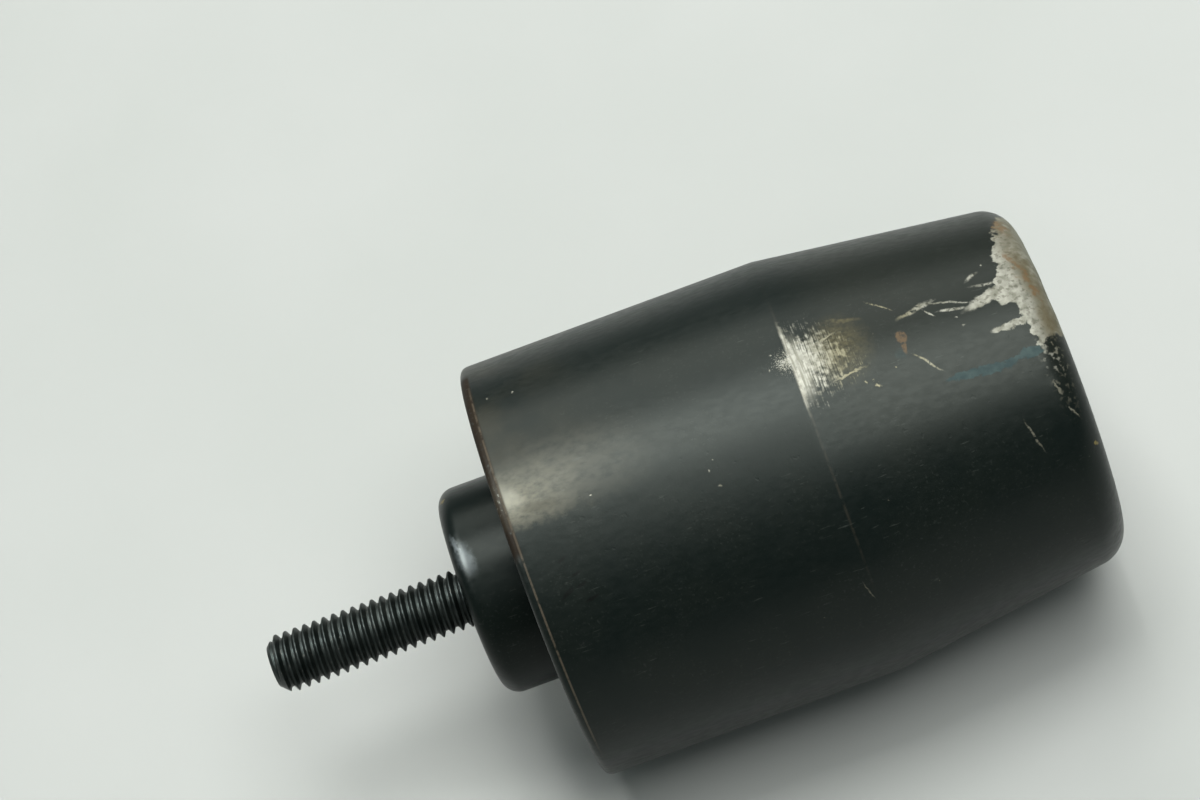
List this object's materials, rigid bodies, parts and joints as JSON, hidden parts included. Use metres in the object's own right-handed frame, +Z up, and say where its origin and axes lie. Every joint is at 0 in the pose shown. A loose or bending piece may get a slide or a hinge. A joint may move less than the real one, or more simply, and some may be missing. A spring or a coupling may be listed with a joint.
{
  "type": "bar end weight",
  "caption": "Turned steel bar end weight in black paint: a cylinder with a tapered, round-edged nose, a short spigot and a threaded stud that screws into a handlebar end.",
  "frame": {"origin": "centre of the spigot's seat face, on the axis, where the handlebar's end meets it", "axes": "+X along the axis towards the outer end, with the stud towards -X; +Z up, as on a handlebar"},
  "size_m": [0.082, 0.042, 0.042],
  "materials": {
    "black_paint": "semi-gloss, chipped and rusty on the outer edge, the ridge and the shoulder",
    "black_oxide": "black oxide, satin"
  },
  "bodies": {
    "root": {"weight": "black_paint", "stud": "black_oxide"}
  },
  "joints": []
}
